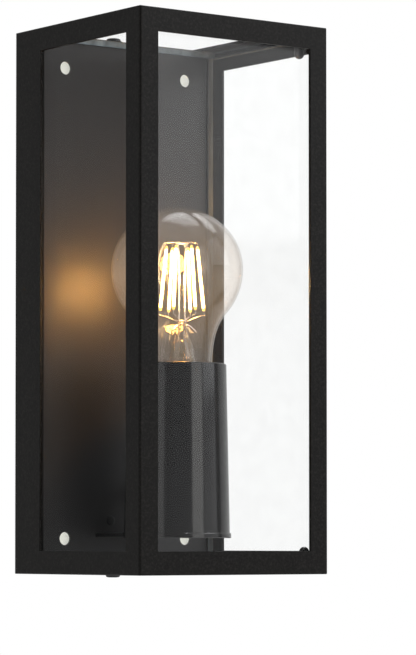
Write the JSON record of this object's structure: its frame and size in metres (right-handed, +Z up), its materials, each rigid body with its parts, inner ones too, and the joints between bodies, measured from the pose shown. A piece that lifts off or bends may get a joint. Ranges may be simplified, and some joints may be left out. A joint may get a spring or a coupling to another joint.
{
  "type": "outdoor wall lantern",
  "caption": "Rectangular outdoor wall lantern: a black sheet-metal cage with clear glass slides off a wall tray that carries an E27 lampholder and a globe filament lamp.",
  "frame": {"origin": "in the wall plane, at the middle of the four wall holes", "axes": "+Z up, +Y into the wall, so the front of the lantern faces -Y; +X to the right seen from the front"},
  "size_m": [0.11, 0.1048, 0.2642],
  "materials": {
    "cage_paint": "fine-grained satin black powder coat",
    "tray_paint": "satin anthracite powder coat",
    "screw_paint": "black coated steel",
    "pane_glass": "clear flat glass, polished edges with a grey-green tint",
    "bulb_glass": "clear blown glass with a faint warm tint",
    "filament": "glowing warm white filament in amber phosphor",
    "lamp_cap": "nickel-plated brass",
    "cap_insulator": "black vitrite",
    "gloss_black": "glossy black moulded plastic",
    "black_plastic": "black moulded plastic",
    "white_plastic": "off-white moulded plastic",
    "black_rubber": "soft black rubber",
    "zinc_steel": "zinc-plated steel",
    "brass": "plain brass",
    "live_wire": "brown silicone insulation",
    "neutral_wire": "blue silicone insulation",
    "earth_wire": "green and yellow insulation",
    "circuit_board": "green circuit board"
  },
  "bodies": {
    "tray": {"wall_tray": "tray_paint", "wall_gasket": "black_rubber", "wall_spacers": "white_plastic", "rivet_nuts": "zinc_steel", "terminal_block": "white_plastic", "terminal_inserts": "brass", "terminal_screws": "zinc_steel", "earth_stud": "zinc_steel", "earth_lug": "zinc_steel", "earth_nut": "brass", "wire_grommet": "black_rubber", "wire_sleeve": "white_plastic", "live_wire": "live_wire", "neutral_wire": "neutral_wire", "earth_wire": "earth_wire", "holder_bracket": "tray_paint", "holder_nipple": "zinc_steel", "nipple_nut": "zinc_steel", "holder_sleeve": "gloss_black", "lampholder_base": "black_plastic", "lampholder_body": "black_plastic", "screw_shell": "brass", "holder_terminals": "brass", "contact_strips": "brass", "contact_spring": "zinc_steel"},
    "cage": {"post_front_left": "cage_paint", "post_front_right": "cage_paint", "post_rear_left": "cage_paint", "post_rear_right": "cage_paint", "rail_top_front": "cage_paint", "rail_top_left": "cage_paint", "rail_top_right": "cage_paint", "rail_top_rear": "cage_paint", "rail_bottom_front": "cage_paint", "rail_bottom_left": "cage_paint", "rail_bottom_right": "cage_paint", "rail_bottom_rear": "cage_paint", "glass_front": "pane_glass", "glass_left": "pane_glass", "glass_right": "pane_glass", "glass_top": "pane_glass", "glass_lugs": "black_plastic"},
    "contact": {"contact_pin": "brass"},
    "neck_ring": {"neck_seal": "black_rubber"},
    "bulb": {"bulb_glass": "bulb_glass", "bulb_cap": "lamp_cap", "cap_insulator": "cap_insulator", "cap_contact": "lamp_cap", "lamp_stem": "bulb_glass", "stem_wires": "zinc_steel", "filaments": "filament", "driver_board": "circuit_board"},
    "top_washer": {"top_washer": "screw_paint"},
    "top_screw": {"top_screw": "screw_paint"},
    "bottom_washer": {"bottom_washer": "screw_paint"},
    "bottom_screw": {"bottom_screw": "screw_paint"}
  },
  "joints": [
    {"name": "cage_slide", "type": "slide", "parent": "tray", "child": "cage", "axis": [0, -1, 0], "range_m": [0, 0.115]},
    {"name": "bulb_rise", "type": "slide", "parent": "tray", "child": "neck_ring", "axis": [0, 0, 1], "range_m": [0, 0.0109]},
    {"name": "bulb_turn", "type": "hinge", "parent": "neck_ring", "child": "bulb", "pos_m": [0, -0.0588, 0], "axis": [0, 0, 1], "range_deg": [0, 1080]},
    {"name": "contact_press", "type": "slide", "parent": "tray", "child": "contact", "axis": [0, 0, -1], "range_m": [0, 0.0008], "stiffness_N_per_m": 800},
    {"name": "top_screw_rise", "type": "slide", "parent": "tray", "child": "top_washer", "axis": [0, 0, 1], "range_m": [0, 0.0042]},
    {"name": "top_screw_turn", "type": "hinge", "parent": "top_washer", "child": "top_screw", "pos_m": [0, -0.0063, 0], "axis": [0, 0, 1], "range_deg": [0, 2161]},
    {"name": "bottom_screw_drop", "type": "slide", "parent": "tray", "child": "bottom_washer", "axis": [0, 0, -1], "range_m": [0, 0.0042]},
    {"name": "bottom_screw_turn", "type": "hinge", "parent": "bottom_washer", "child": "bottom_screw", "pos_m": [0, -0.0063, 0], "axis": [0, 0, -1], "range_deg": [0, 2161]}
  ],
  "couplings": [
    {"joint": "bulb_rise", "follows": "bulb_turn", "m_per_rad": 0.00057757},
    {"joint": "top_screw_turn", "follows": "top_screw_rise", "rad_per_m": 8976},
    {"joint": "bottom_screw_turn", "follows": "bottom_screw_drop", "rad_per_m": 8976}
  ]
}
